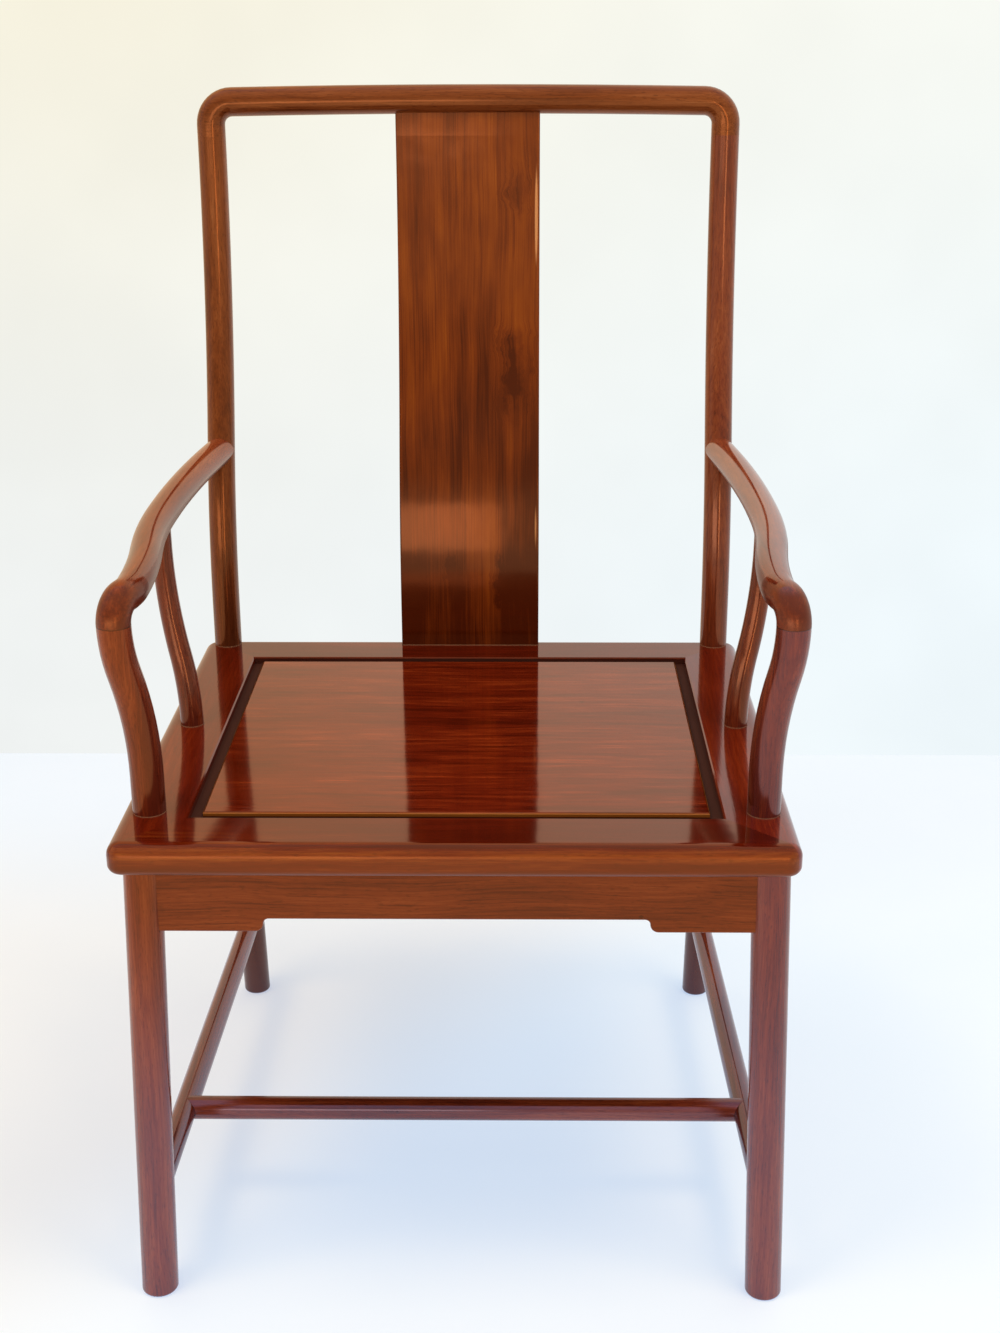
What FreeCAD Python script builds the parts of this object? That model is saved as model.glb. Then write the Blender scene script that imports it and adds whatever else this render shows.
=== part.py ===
import FreeCAD, Part
import math
import os
import Sketcher

# Official hat chair in turned hardwood. Millimetres, +Z up, the front of the seat towards -Y. Left and
# right are those of someone who looks at the chair's front, so right is +X. The origin is on the floor,
# under the middle of the chair.

SIZES = (
    # Seat frame and panel
    ("seat_top", 472, "top face of the seat frame above the floor"),
    ("seat_thick", 27.2, "thickness of the seat frame"),
    ("seat_half_width", 283.5, "middle plane to the outer edge of the seat"),
    ("seat_front", 305.5, "origin to the front edge of the seat"),
    ("seat_rear", 212, "origin to the rear edge of the seat"),
    ("seat_rail_width", 59, "width of the four seat rails"),
    ("seat_edge_round", 12, "upper rounding of the seat edge"),
    ("seat_corner_flat", 2, "plan radius at the corners of the seat's flat top"),
    ("seat_under_round", 7, "lower rounding of the seat edge"),
    ("seat_inner_chamfer", 1.2, "chamfer round the inner edge of the frame"),
    ("rail_tenon_inset", 10, "inner edge of the frame to the mitre tenon"),
    ("rail_tenon_width", 17, "width of the mitre tenon"),
    ("rail_tenon_thick", 9, "thickness of the mitre tenon"),
    ("rail_tenon_length", 42, "inner edge of the side rail to the tenon's tip"),
    ("rail_tenon_lift", 8, "underside of the frame to the mitre tenon"),
    ("margin_width", 11, "sunk margin between the frame and the panel field"),
    ("margin_depth", 7, "depth of the sunk margin"),
    ("tongue_thick", 8, "thickness of the panel's tongue"),
    ("tongue_reach", 8, "depth of the groove for the tongue"),
    ("tongue_play", 0.8, "room for the panel to swell in its groove"),
    ("panel_thick", 20, "thickness of the panel's field"),
    ("panel_drop", 0.4, "panel field below the frame's top face"),
    ("panel_chamfer", 1.4, "chamfer round the panel's field"),
    ("batten_offset", 78, "middle plane to the middle of a batten"),
    ("batten_width", 30, "width of a batten"),
    ("batten_depth", 19, "height of a batten"),
    ("batten_housing", 14, "how far a batten's end is let into the rail"),
    ("batten_clear", 0.6, "room between the battens and the front apron"),
    # Posts above the seat
    ("post_diameter", 28.2, "posts, arms and crest rail"),
    ("post_inset", 25, "outer edge of the seat to the posts"),
    ("front_post_inset", 71.2, "front edge of the seat to the front posts"),
    ("rear_post_inset", 14.5, "rear edge of the seat to the rear posts"),
    ("neck_straight", 33, "straight foot of the front post above the seat"),
    ("front_post_out", 14.5, "how far the front post leans outwards"),
    ("front_post_forward", 14.5, "how far the front post leans forwards"),
    ("front_curve_share", 0.68, "share of the front post's curve below its turn"),
    ("arm_drop", 36, "arm's centre line at the rear down to the joint with the front post"),
    ("back_straight", 43, "straight foot of the rear post above the seat"),
    ("back_lean", 70.5, "how far the back leans backwards"),
    ("back_curve_share", 0.36, "share of the back's curve below its turn"),
    ("crest_drop", 32.7, "centre line of the crest rail down to its joint with the rear post"),
    ("joint_tenon_diameter", 14, "round tenon in each pipe joint"),
    ("joint_tenon_length", 12, "length of that tenon"),
    # Legs
    ("front_leg_diameter", 33, "front legs"),
    ("front_leg_set", 10.5, "front leg's top set out from the post above it"),
    ("front_foot_set", 26.5, "front foot set out from the post above it"),
    ("front_neck_diameter", 17, "neck through the frame at the front"),
    ("rear_leg_diameter", 30, "rear legs"),
    ("rear_leg_set", 4.8, "rear leg set out sideways from the post above it"),
    ("rear_leg_rake", 93, "how far the rear leg runs back to its foot"),
    ("rear_leg_radius", 6000, "bending radius of the rear leg"),
    ("rear_neck_diameter", 20, "neck through the frame at the rear"),
    ("foot_round", 3, "rounding of the feet"),
    # Crest rail and back splat
    ("crest_height", 1021.7, "centre line of the crest rail at its ends"),
    ("crest_crown", 2.2, "rise of the crest rail towards its middle"),
    ("crest_hollow", 7.9, "inner radius of the crest rail's corners"),
    ("splat_width", 145, "width of the back splat"),
    ("splat_thick", 12, "thickness of the back splat"),
    ("splat_housing", 8, "how far the splat is let in above and below"),
    ("splat_edge_round", 1.8, "rounding of the splat's long edges"),
    # Arms and side posts
    ("arm_height", 678, "centre line of the arm at the rear post"),
    ("arm_bow", 19.3, "outward bow of the arm"),
    ("arm_bow_share", 0.52, "share of the arm's length back of the bow"),
    ("arm_waist_in", 3.2, "how far the arm's waist stands inwards of the elbow's bend"),
    ("elbow_rise", 18.5, "joint with the front post up to where the arm's line would cross it"),
    ("elbow_out", 5.7, "how far the elbow's bend reaches outwards"),
    ("arm_tenon_diameter", 12, "round tenon of the arm in the rear post"),
    ("arm_tenon_root", 12, "length of that tenon inside the arm"),
    ("arm_tenon_tip", 4, "length of that tenon beyond the post's centre"),
    ("side_post_inset", 1.5, "foot of the side post inwards of the front post"),
    ("side_post_set", 199.8, "foot of the side post behind the front post"),
    ("side_post_back", 16, "how far the side post leans backwards"),
    ("side_post_foot", 22, "diameter of the side post at its foot"),
    ("side_post_head", 18.4, "diameter of the side post at its top"),
    ("side_post_housing", 10, "how far the side post is let into the frame"),
    ("side_post_straight", 22, "straight top of the side post"),
    ("side_post_stop", 3.5, "end of the side post below the arm's centre line"),
    ("side_post_share", 0.4, "share of that curve below its turn"),
    # Aprons
    ("apron_thick", 12, "thickness of the side and rear aprons"),
    ("front_apron_thick", 14, "thickness of the front apron"),
    ("front_apron_inset", 53, "front edge of the seat to the front apron"),
    ("rear_apron_inset", 5, "rear edge of the seat to the rear apron"),
    ("side_apron_inset", 10.5, "outer edge of the seat to a side apron"),
    ("apron_depth", 77.2, "depth of the aprons at their ends"),
    ("apron_rise", 12, "height of the step in their lower edge"),
    ("step_round_share", 0.6, "share of the step that its lower corner's rounding takes"),
    ("apron_foot", 85.5, "end to step of the front and rear aprons"),
    ("side_apron_foot", 72, "leg's centre line to the step of the side aprons"),
    ("long_apron_stop", 1, "end of the front and rear aprons short of the post's centre line"),
    ("apron_stop", 5, "end of a side apron short of the leg's centre line"),
    ("apron_edge_round", 1.5, "rounding of the aprons' lower face edge"),
    # Stretchers
    ("stretcher_diameter", 22.4, "all three stretchers"),
    ("stretcher_height", 102, "centre line of the stretchers"),
    ("stretcher_stop", 5, "end of a side stretcher short of the leg's centre line"),
    ("cross_stretcher_set", 117.9, "cross stretcher behind the front posts"),
    ("cross_tenon_diameter", 12, "round tenons of the cross stretcher"),
    ("cross_tenon_tip", 4, "length of that tenon beyond the side stretcher's centre"),
    # General
    ("fit_gap", 0.15, "clearance round whatever is let into another piece"),
    ("overrun", 5, "how far a cutting shape runs past the wood"),
)

doc = FreeCAD.newDocument("official_hat_chair")
sheet = doc.addObject("Spreadsheet::Sheet", "Sizes")
for row, (alias, number, note) in enumerate(SIZES, start=1):
    sheet.set("A%d" % row, note)
    sheet.set("B%d" % row, str(number))
    sheet.setAlias("B%d" % row, alias)
doc.recompute()


class Size:
    """A size from the sheet, or worked out from some: its formula, and its value for first guesses."""

    def __init__(self, text, value):
        self.text = text
        self.value = value

    def join(self, other, sign, value):
        return Size("(%s %s %s)" % (self.text, sign, other.text), value)

    def __add__(self, other):
        return self.join(other, "+", self.value + other.value)

    def __sub__(self, other):
        return self.join(other, "-", self.value - other.value)

    def __mul__(self, other):
        other = plain(other)
        return self.join(other, "*", self.value * other.value)

    def __truediv__(self, other):
        other = plain(other)
        return self.join(other, "/", self.value / other.value)

    def __neg__(self):
        return self * -1

    def root(self):
        return Size("sqrt(%s)" % self.text, math.sqrt(self.value))


def plain(number):
    return number if isinstance(number, Size) else Size("%g" % number, number)


def size(alias):
    return Size("Sizes." + alias, float(sheet.get(alias)))


ZERO = plain(0)
ONE = plain(1)
SIDES = (("left", -1), ("right", 1))

# What several pieces share
seat_top = size("seat_top")
seat_under = seat_top - size("seat_thick")
seat_front = -size("seat_front")
seat_rear = size("seat_rear")
seat_side = size("seat_half_width")
seat_corner = size("seat_edge_round") + size("seat_corner_flat")
frame_x = seat_side - size("seat_rail_width")
frame_front = seat_front + size("seat_rail_width")
frame_rear = seat_rear - size("seat_rail_width")
panel_top = seat_top - size("panel_drop")
panel_under = panel_top - size("panel_thick")
tongue_top = seat_top - size("margin_depth")
post_x = seat_side - size("post_inset")
front_y = seat_front + size("front_post_inset")
rear_y = seat_rear - size("rear_post_inset")
post_round = size("post_diameter")
gap = size("fit_gap")

# The front post leans along one line in plan, outwards and forwards
front_bow = (size("front_post_out") * size("front_post_out")
             + size("front_post_forward") * size("front_post_forward")).root()
out_part = size("front_post_out") / front_bow
forward_part = size("front_post_forward") / front_bow
elbow_x = post_x + size("front_post_out")
elbow_y = front_y - size("front_post_forward")
arm_joint = size("arm_height") - size("arm_drop")

# The back's curve, shared by the rear posts and the splat: two arcs that meet in a common tangent
back_low = seat_top + size("back_straight")
back_high = size("crest_height") - size("crest_drop")
back_top_y = rear_y + size("back_lean")
back_rise = back_high - back_low
back_radius = (back_rise * back_rise + size("back_lean") * size("back_lean")) / (size("back_lean") * 2)
back_first = back_radius * size("back_curve_share")

# The arm starts on the rear post's centre line and slopes down in a straight plane. The elbow's bend
# takes the same length of the arm's line and of the upright line through the joint: a plain arc.
arm_up = size("arm_height") - back_low
arm_start_y = rear_y + back_first - (back_first * back_first - arm_up * arm_up).root()
arm_run = arm_start_y - elbow_y
arm_fall = size("arm_drop") - size("elbow_rise")
arm_length = (arm_run * arm_run + arm_fall * arm_fall).root()
bend_back = (size("elbow_rise") * size("elbow_rise") - size("elbow_out") * size("elbow_out")).root()

# The rear leg's centre line, taken as straight where something only has to stop inside it
rear_leg_x = post_x + size("rear_leg_set")
rear_foot_y = rear_y + size("rear_leg_rake")


def front_leg_set(height):
    """How far the front leg's centre line stands out from the post above it at a height."""
    splay = size("front_foot_set") - size("front_leg_set")
    return size("front_foot_set") - splay * height / seat_under


def rear_leg_y(height):
    return rear_foot_y - size("rear_leg_rake") * height / seat_under


def sketch(body, plane, name, away=ZERO):
    """A sketch on one of the body's own origin planes, moved along the plane's normal."""
    made = body.newObject("Sketcher::SketchObject", body.Name + "_" + name)
    for item in body.Origin.OriginFeatures:
        if item.Role == plane:
            made.AttachmentSupport = (item, "")
    made.MapMode = "FlatFace"
    made.setExpression("AttachmentOffset.Base.z", away.text)
    return made


def place(made, geo, pos, point):
    """Hold a sketch point at two sizes from the sketch's origin."""
    for kind, value in zip(("DistanceX", "DistanceY"), point):
        index = made.addConstraint(Sketcher.Constraint(kind, geo, pos, value.value))
        made.setExpression("Constraints[%d]" % index, value.text)


def circle(body, plane, name, away, point, diameter):
    made = sketch(body, plane, name, away)
    centre = FreeCAD.Vector(point[0].value, point[1].value, 0)
    normal = FreeCAD.Vector(0, 0, 1)
    made.addGeometry(Part.Circle(centre, normal, diameter.value / 2), False)
    place(made, 0, 3, point)
    index = made.addConstraint(Sketcher.Constraint("Diameter", 0, diameter.value))
    made.setExpression("Constraints[%d]" % index, diameter.text)
    return made


def arc_between(start, end, radius, turn):
    """The arc of a radius from start to end; turn is 1 when it runs anticlockwise."""
    half = (end - start) / 2
    left = FreeCAD.Vector(-half.y, half.x, 0)
    left.normalize()
    reach = math.sqrt(max(radius * radius - half.Length * half.Length, 0))
    centre = start + half + left * (reach * turn)
    first, last = (start, end) if turn > 0 else (end, start)
    angles = [math.atan2(p.y - centre.y, p.x - centre.x) for p in (first, last)]
    ring = Part.Circle(centre, FreeCAD.Vector(0, 0, 1), radius)
    return Part.ArcOfCircle(ring, angles[0], angles[1])


def outline(made, points, bends, closed=True):
    """Draw edges from point to point. A bend is None for a line, else a radius and its turn."""
    spots = [FreeCAD.Vector(x.value, y.value, 0) for x, y in points]
    ends = []
    for index, bend in enumerate(bends):
        start = spots[index]
        end = spots[(index + 1) % len(spots)]
        if bend is None:
            made.addGeometry(Part.LineSegment(start, end), False)
            ends.append((1, 2))
        else:
            made.addGeometry(arc_between(start, end, bend[0].value, bend[1]), False)
            ends.append((1, 2) if bend[1] > 0 else (2, 1))
    for index in range(1, len(bends)):
        made.addConstraint(Sketcher.Constraint("Coincident", index - 1, ends[index - 1][1],
                                               index, ends[index][0]))
    if closed:
        made.addConstraint(Sketcher.Constraint("Coincident", len(bends) - 1, ends[-1][1],
                                               0, ends[0][0]))
    for index, bend in enumerate(bends):
        place(made, index, ends[index][0], points[index])
        if bend is not None:
            held = made.addConstraint(Sketcher.Constraint("Radius", index, bend[0].value))
            made.setExpression("Constraints[%d]" % held, bend[0].text)
    if not closed:
        place(made, len(bends) - 1, ends[-1][1], points[-1])
    return made


def rectangle(body, plane, name, away, low, high):
    corners = [low, (high[0], low[1]), high, (low[0], high[1])]
    return outline(sketch(body, plane, name, away), corners, [None] * 4)


def s_curve(start, end, share):
    """Middle point and bends of two arcs, in line with the sketch's vertical at both ends."""
    across = end[0] - start[0]
    along = end[1] - start[1]
    lean = 1 if across.value > 0 else -1
    turn = -lean if along.value > 0 else lean
    radius = (along * along + across * across) / (across * (2 * lean))
    middle = (start[0] + across * share, start[1] + along * share)
    return middle, [(radius * share, turn), (radius * (ONE - share), -turn)]


def new_body(name):
    return doc.addObject("PartDesign::Body", name)


def feature(body, kind, name, profile):
    made = body.newObject("PartDesign::" + kind, body.Name + "_" + name)
    made.Profile = profile
    return made


def pad(body, name, profile, length, reverse=False):
    made = feature(body, "Pad", name, profile)
    made.setExpression("Length", length.text)
    made.Reversed = reverse
    return made


def pipe(body, name, profile, spine, mode="Standard", section=None):
    made = feature(body, "AdditivePipe", name, profile)
    made.Spine = (spine, [])
    made.Mode = mode
    if section is not None:
        made.Transformation = "Multisection"
        made.Sections = [section]
    return made


def soften(body, kind, name, alias, pick):
    """Fillet or chamfer the edges of the body so far for which pick is true."""
    doc.recompute()
    base = body.Tip
    edges = []
    for index, edge in enumerate(base.Shape.Edges, start=1):
        if pick(edge):
            edges.append("Edge%d" % index)
    made = body.newObject("PartDesign::" + kind, body.Name + "_" + name)
    made.Base = (base, edges)
    made.setExpression("Radius" if kind == "Fillet" else "Size", "Sizes." + alias)
    return made


def near(number, wanted):
    return abs(number - wanted.value) < gap.value


def at_height(edge, height):
    return all(near(vertex.Z, height) for vertex in edge.Vertexes)


def cylinder(name, point, diameter, length, axis="Z"):
    """A plain round shape that starts at a point and runs along one axis."""
    made = doc.addObject("Part::Cylinder", name)
    made.setExpression("Radius", (diameter / 2).text)
    made.setExpression("Height", length.text)
    turned = {"X": FreeCAD.Vector(1, 0, 0), "Y": FreeCAD.Vector(0, 1, 0), "Z": FreeCAD.Vector(0, 0, 1)}
    turn = FreeCAD.Rotation(turned["Z"], turned[axis])
    made.Placement = FreeCAD.Placement(FreeCAD.Vector(), turn)
    for key, value in zip("xyz", point):
        made.setExpression("Placement.Base." + key, value.text)
    return made


def box(name, low, high):
    made = doc.addObject("Part::Box", name)
    for key, side, start, end in zip("xyz", ("Length", "Width", "Height"), low, high):
        made.setExpression("Placement.Base." + key, start.text)
        made.setExpression(side, (end - start).text)
    return made


def cut(name, base, tools):
    """The base without the room that other pieces take up in it."""
    room = doc.addObject("Part::Compound", name + "_room")
    room.Links = tools
    made = doc.addObject("Part::Cut", name)
    made.Base = base
    made.Tool = room
    made.Refine = True
    return made


def fuse(name, base, others):
    made = doc.addObject("Part::MultiFuse", name)
    made.Shapes = [base] + others
    made.Refine = True
    return made


def turn_body(body, point, angle):
    """Stand the body at a point and turn it round the vertical by a formula."""
    body.Placement = FreeCAD.Placement(FreeCAD.Vector(), FreeCAD.Rotation(FreeCAD.Vector(0, 0, 1), 45))
    for key, value in zip("xyz", point):
        body.setExpression("Placement.Base." + key, value.text)
    body.setExpression("Placement.Rotation.Angle", angle)


def front_post(label, side):
    """Splayed round leg, neck through the frame, goose-neck post and round tenon for the arm."""
    body = new_body(label + "_blank")
    lean = "atan(%s / %s)" % (size("front_post_forward").text, size("front_post_out").text)
    angle = "-" + lean if side > 0 else lean + " - 180 deg"
    turn_body(body, (post_x * side, front_y, ZERO), angle)
    leg = size("front_leg_diameter")
    head = circle(body, "XY_Plane", "head", seat_under, (size("front_leg_set"), ZERO), leg)
    line = sketch(body, "XZ_Plane", "leg_line")
    outline(line, [(size("front_leg_set"), seat_under), (size("front_foot_set"), ZERO)], [None],
            closed=False)
    pipe(body, "leg", head, line, "Fixed")
    soften(body, "Fillet", "foot_round", "foot_round", lambda edge: at_height(edge, ZERO))
    neck_at = (size("front_leg_set") / 2, ZERO)
    neck = circle(body, "XY_Plane", "neck", seat_under, neck_at, size("front_neck_diameter"))
    pad(body, "neck_pad", neck, size("seat_thick"))
    low = seat_top + size("neck_straight")
    start = (ZERO, low)
    end = (front_bow, arm_joint)
    middle, bends = s_curve(start, end, size("front_curve_share"))
    spine = sketch(body, "XZ_Plane", "line")
    outline(spine, [(ZERO, seat_top), start, middle, end], [None] + bends, closed=False)
    base = circle(body, "XY_Plane", "base", seat_top, (ZERO, ZERO), post_round)
    pipe(body, "post", base, spine)
    tenon = circle(body, "XY_Plane", "tenon", arm_joint, (front_bow, ZERO),
                   size("joint_tenon_diameter"))
    pad(body, "tenon_pad", tenon, size("joint_tenon_length"))
    return body


def back_line(body, name, away):
    """The back's centre line as a sketch, from the seat's top face to the crest joint."""
    start = (rear_y, back_low)
    end = (back_top_y, back_high)
    middle, bends = s_curve(start, end, size("back_curve_share"))
    spine = sketch(body, "YZ_Plane", name, away)
    return outline(spine, [(rear_y, seat_top), start, middle, end], [None] + bends, closed=False)


def rear_post(label, side):
    """Raked round leg, neck through the frame, S-curved back post and tenon for the crest rail."""
    body = new_body(label + "_blank")
    leg_x = rear_leg_x * side
    head = circle(body, "XY_Plane", "head", seat_under, (leg_x, rear_y), size("rear_leg_diameter"))
    line = sketch(body, "YZ_Plane", "leg_line", leg_x)
    outline(line, [(rear_y, seat_under), (rear_foot_y, ZERO)], [(size("rear_leg_radius"), -1)],
            closed=False)
    pipe(body, "leg", head, line, "Fixed")
    soften(body, "Fillet", "foot_round", "foot_round", lambda edge: at_height(edge, ZERO))
    neck_x = (post_x + size("rear_leg_set") / 2) * side
    neck = circle(body, "XY_Plane", "neck", seat_under, (neck_x, rear_y), size("rear_neck_diameter"))
    pad(body, "neck_pad", neck, size("seat_thick"))
    base = circle(body, "XY_Plane", "base", seat_top, (post_x * side, rear_y), post_round)
    pipe(body, "post", base, back_line(body, "post_line", post_x * side))
    tenon = circle(body, "XY_Plane", "tenon", back_high, (post_x * side, back_top_y),
                   size("joint_tenon_diameter"))
    pad(body, "tenon_pad", tenon, size("joint_tenon_length"))
    return body


def post_room(label, side):
    """The rear post with its clearance, for the hollow end of the arm."""
    body = new_body(label + "_clear")
    base = circle(body, "XY_Plane", "base", seat_top, (post_x * side, rear_y), post_round + gap * 2)
    pipe(body, "post", base, back_line(body, "post_line", post_x * side))
    return body


def crest_rail():
    """Round rail with a slight crown, both ends turned down onto the rear posts."""
    body = new_body("crest_rail_blank")
    corner = post_round / 2 + size("crest_hollow")
    crown = size("crest_crown")
    turn_z = size("crest_height") - corner
    reach = post_x - corner
    spread = (reach * reach + crown * crown) / (crown * 2)
    meet_x = reach + corner * reach / spread
    meet_z = turn_z + corner * (spread - crown) / spread
    points = [(-post_x, back_high), (-post_x, turn_z), (-meet_x, meet_z),
              (meet_x, meet_z), (post_x, turn_z), (post_x, back_high)]
    bends = [None, (corner, -1), (corner + spread, -1), (corner, -1), None]
    line = sketch(body, "XZ_Plane", "line", -back_top_y)
    outline(line, points, bends, closed=False)
    end = circle(body, "XY_Plane", "end", back_high, (-post_x, back_top_y), post_round)
    pipe(body, "rail", end, line)
    return body


def back_splat(label, ease):
    """S-curved board that follows the rear posts, let into the seat rail and the crest rail."""
    body = new_body(label)
    half = size("splat_thick") / 2 + ease
    low = seat_top - size("splat_housing")
    high = size("crest_height") + size("crest_crown") - post_round / 2 + size("splat_housing")
    start = (rear_y, back_low)
    middle, bends = s_curve(start, (back_top_y, back_high), size("back_curve_share"))
    rise = back_rise / back_radius
    level = (back_radius - size("back_lean")) / back_radius
    first = bends[0][0]
    second = bends[1][0]
    points = [(rear_y - half, low), (rear_y + half, low), (rear_y + half, back_low),
              (middle[0] + half * level, middle[1] - half * rise), (back_top_y + half, back_high),
              (back_top_y + half, high), (back_top_y - half, high), (back_top_y - half, back_high),
              (middle[0] - half * level, middle[1] + half * rise), (rear_y - half, back_low)]
    edges = [None, None, (first - half, -1), (second + half, 1), None,
             None, None, (second - half, -1), (first + half, 1), None]
    width = size("splat_width") + ease * 2
    profile = outline(sketch(body, "YZ_Plane", "profile", -width / 2), points, edges)
    pad(body, "board", profile, width)
    return body


def elbow(label, side):
    """The arm's bend down to its joint with the front post, drawn in the upright plane it lies in."""
    body = new_body(label + "_elbow")
    back = bend_back * arm_run / arm_length
    climb = bend_back * arm_fall / arm_length
    lean = "atan(%s / %s)" % (back.text, size("elbow_out").text)
    angle = "-" + lean if side > 0 else lean + " - 180 deg"
    turn_body(body, (elbow_x * side, elbow_y, ZERO), angle)
    reach = (size("elbow_out") * size("elbow_out") + back * back).root()
    radius = reach * size("elbow_rise") / (size("elbow_rise") - climb)
    top = (-reach, arm_joint + size("elbow_rise") + climb)
    line = sketch(body, "XZ_Plane", "line")
    outline(line, [(ZERO, arm_joint), top], [(radius, 1)], closed=False)
    end = circle(body, "XY_Plane", "end", arm_joint, (ZERO, ZERO), post_round)
    pipe(body, "bend", end, line)
    return body


def arm(label, side):
    """Round arm, S-curved in plan, with an elbow that turns down onto the front post."""
    body = new_body(label + "_rod")
    lean = FreeCAD.Rotation(FreeCAD.Vector(1, 0, 0), 10)
    body.Placement = FreeCAD.Placement(FreeCAD.Vector(), lean)
    for key, value in zip("xyz", (post_x * side, arm_start_y, size("arm_height"))):
        body.setExpression("Placement.Base." + key, value.text)
    body.setExpression("Placement.Rotation.Angle", "atan(%s / %s)" % (arm_fall.text, arm_run.text))
    tip_out = size("front_post_out") - size("elbow_out")
    waist_out = (tip_out - size("arm_waist_in")) * side
    turn = size("arm_waist_in") * size("elbow_rise") / (size("elbow_rise") - bend_back)
    waist_at = arm_length - bend_back - turn * size("elbow_out") / size("elbow_rise")
    waist = (waist_out, -waist_at)
    tip = (tip_out * side, bend_back - arm_length)
    bow_back = arm_length * size("arm_bow_share")
    bow = (size("arm_bow") * side, -bow_back)
    middle, bends = s_curve(waist, bow, ONE / 2)
    sweep = (bow_back * bow_back + size("arm_bow") * size("arm_bow")) / (size("arm_bow") * 2)
    line = sketch(body, "XY_Plane", "line")
    outline(line, [waist, middle, bow, (ZERO, ZERO)], bends + [(sweep, side)], closed=False)
    section = circle(body, "XZ_Plane", "section", waist_at, (waist_out, ZERO), post_round)
    pipe(body, "long_part", section, line)
    turn_line = sketch(body, "XY_Plane", "turn_line")
    outline(turn_line, [waist, tip], [(turn, side)], closed=False)
    turn_section = circle(body, "XZ_Plane", "turn_section", waist_at, (waist_out, ZERO), post_round)
    pipe(body, "turned_part", turn_section, turn_line)
    return fuse(label + "_blank", body, [elbow(label, side)])


def side_post(label, side, ease):
    """Thin tapered post that curves outwards from the frame to the arm."""
    body = new_body(label)
    foot_x = post_x - size("side_post_inset")
    foot_y = front_y + size("side_post_set")
    out = size("arm_bow") + size("side_post_inset")
    back = size("side_post_back")
    lean = (out * out + back * back).root()
    lean_angle = "atan(%s / %s)" % (back.text, out.text)
    angle = lean_angle if side > 0 else "180 deg - " + lean_angle
    turn_body(body, (foot_x * side, foot_y, ZERO), angle)
    low = seat_top - size("side_post_housing")
    slope = arm_fall / arm_run
    high = size("arm_height") - (arm_start_y - foot_y - back) * slope - size("side_post_stop")
    turn_top = high - size("side_post_straight")
    start = (ZERO, seat_top)
    end = (lean, turn_top)
    middle, bends = s_curve(start, end, size("side_post_share"))
    line = sketch(body, "XZ_Plane", "line")
    outline(line, [(ZERO, low), start, middle, end, (lean, high)], [None] + bends + [None],
            closed=False)
    foot = circle(body, "XY_Plane", "foot", low, (ZERO, ZERO), size("side_post_foot") + ease * 2)
    head = circle(body, "XY_Plane", "head", high, (lean, ZERO), size("side_post_head") + ease * 2)
    pipe(body, "post", foot, line, "Standard", head)
    return body


def rail_corner(sign, y_edge):
    """Where the mitre meets the rounded outer corner of the seat frame."""
    inset = seat_corner * (1 - math.sqrt(0.5))
    return seat_side - inset, y_edge - inset * sign


def finish_rail(body, outer, inner, outer_of, inner_of, low, high):
    """Round the outer edge, cut the panel's groove, and ease the inner edge."""
    def on_rim(edge, height):
        middle = edge.valueAt((edge.FirstParameter + edge.LastParameter) / 2)
        return at_height(edge, height) and abs(outer_of(middle) - outer.value) < seat_corner.value / 2

    soften(body, "Fillet", "edge_round", "seat_edge_round", lambda edge: on_rim(edge, seat_top))
    soften(body, "Fillet", "under_round", "seat_under_round", lambda edge: on_rim(edge, seat_under))
    slot = rectangle(body, "XY_Plane", "groove", tongue_top + gap, low, high)
    groove = feature(body, "Pocket", "groove_cut", slot)
    groove.setExpression("Length", (size("tongue_thick") + gap).text)
    soften(body, "Chamfer", "inner_chamfer", "seat_inner_chamfer",
           lambda edge: at_height(edge, seat_top)
           and all(near(inner_of(vertex.Point), inner) for vertex in edge.Vertexes))


def long_rail(label, sign, outer):
    """Front or rear seat rail with mitred ends and a tenon at each mitre."""
    body = new_body(label + "_blank")
    corner = seat_corner
    inner = outer - size("seat_rail_width") * sign
    mitre_x, mitre_y = rail_corner(sign, outer)
    straight = seat_side - corner
    points = [(-mitre_x, mitre_y), (-straight, outer), (straight, outer), (mitre_x, mitre_y),
              (frame_x, inner), (-frame_x, inner)]
    bends = [(corner, -sign), None, (corner, -sign), None, None, None]
    board = outline(sketch(body, "XY_Plane", "board", seat_under), points, bends)
    pad(body, "plank", board, size("seat_thick"))
    deep = inner + size("tongue_reach") * sign
    clear = inner - size("overrun") * sign
    reach = frame_x + size("tongue_reach")
    finish_rail(body, outer, inner, lambda p: p.y, lambda p: p.y,
                (-reach, deep), (reach, clear))
    lift = seat_under + size("rail_tenon_lift")
    near_y = inner + size("rail_tenon_inset") * sign
    far_y = near_y + size("rail_tenon_width") * sign
    for name, side in SIDES:
        start = (frame_x + size("rail_tenon_inset") / 2) * side
        tip = (frame_x + size("rail_tenon_length")) * side
        tenon = rectangle(body, "XY_Plane", name + "_tenon", lift, (start, near_y), (tip, far_y))
        pad(body, name + "_tenon_pad", tenon, size("rail_tenon_thick"))
    return body


def side_rail(label, side):
    """Left or right seat rail, mitred into the long rails."""
    body = new_body(label + "_blank")
    corner = seat_corner
    outer = seat_side * side
    inner = frame_x * side
    front_x, front_corner = rail_corner(-1, seat_front)
    rear_x, rear_corner = rail_corner(1, seat_rear)
    points = [(front_x * side, front_corner), (outer, seat_front + corner),
              (outer, seat_rear - corner), (rear_x * side, rear_corner),
              (inner, frame_rear), (inner, frame_front)]
    bends = [(corner, side), None, (corner, side), None, None, None]
    board = outline(sketch(body, "XY_Plane", "board", seat_under), points, bends)
    pad(body, "plank", board, size("seat_thick"))
    reach = size("tongue_reach")
    finish_rail(body, outer, inner, lambda p: p.x, lambda p: p.x,
                (inner + reach * side, frame_front - reach),
                (inner - size("overrun") * side, frame_rear + reach))
    return body


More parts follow.
